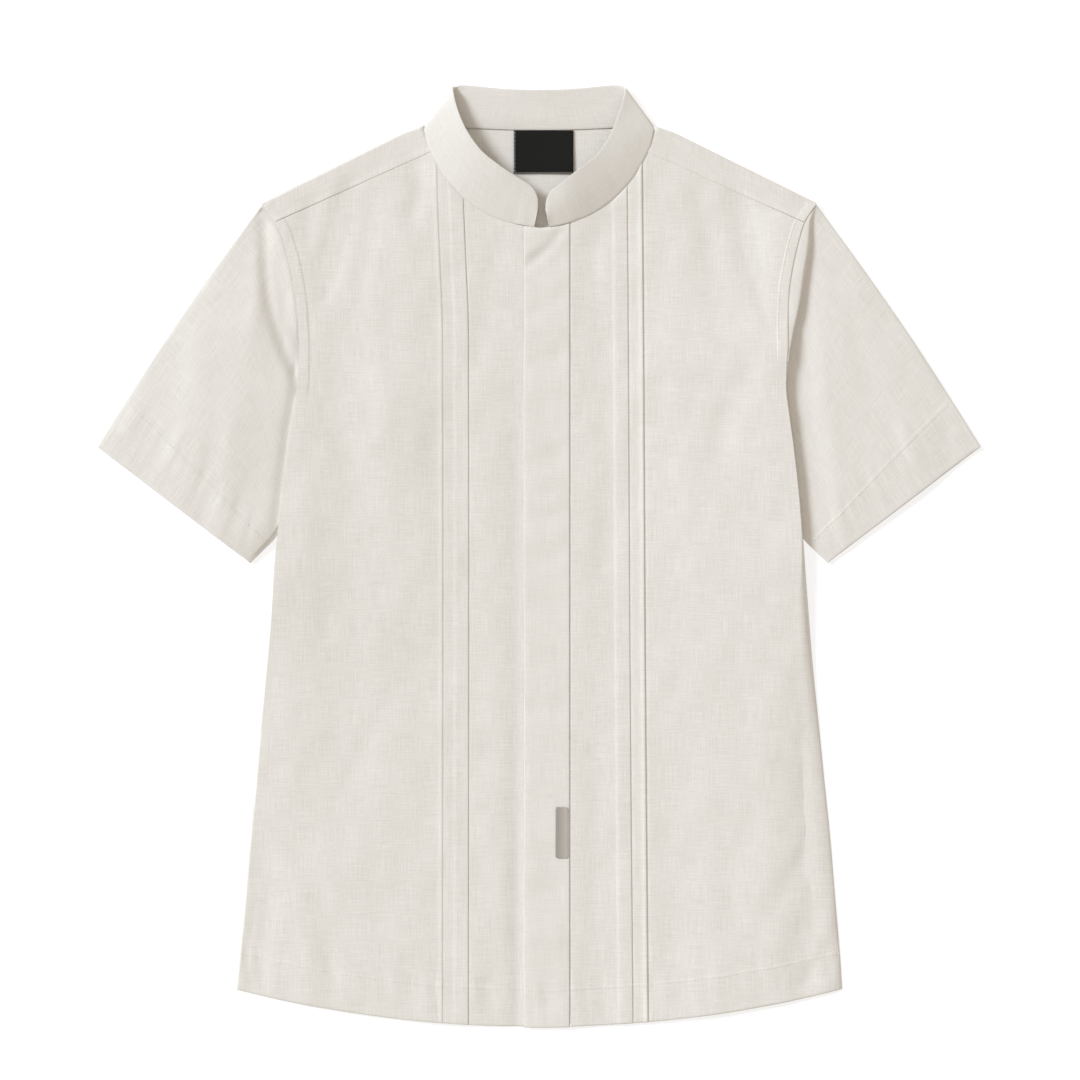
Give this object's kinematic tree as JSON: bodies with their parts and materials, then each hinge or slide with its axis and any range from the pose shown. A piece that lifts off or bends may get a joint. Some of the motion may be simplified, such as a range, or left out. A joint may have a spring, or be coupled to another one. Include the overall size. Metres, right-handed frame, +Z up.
{
  "type": "short-sleeve linen shirt, laid flat",
  "caption": "Short-sleeve natural linen shirt with a band collar, a hidden button fly and pin tucks, laid flat on its back.",
  "frame": {"origin": "centre of the shirt's box, on the surface that it lies on", "axes": "+X towards the wearer's left sleeve, +Y towards the collar, +Z up from the surface"},
  "size_m": [0.7346, 0.7828, 0.0177],
  "materials": {
    "linen": "matt plain weave with slubs",
    "label_weave": "matt woven satin, bare",
    "tag_metal": "satin, bare"
  },
  "bodies": {
    "root": {"back": "linen", "yoke": "linen", "front_right": "linen", "front_left": "linen", "sleeve_right": "linen", "sleeve_left": "linen", "placket": "linen", "collar": "linen", "neck_label": "label_weave", "placket_tag": "tag_metal"}
  },
  "joints": []
}
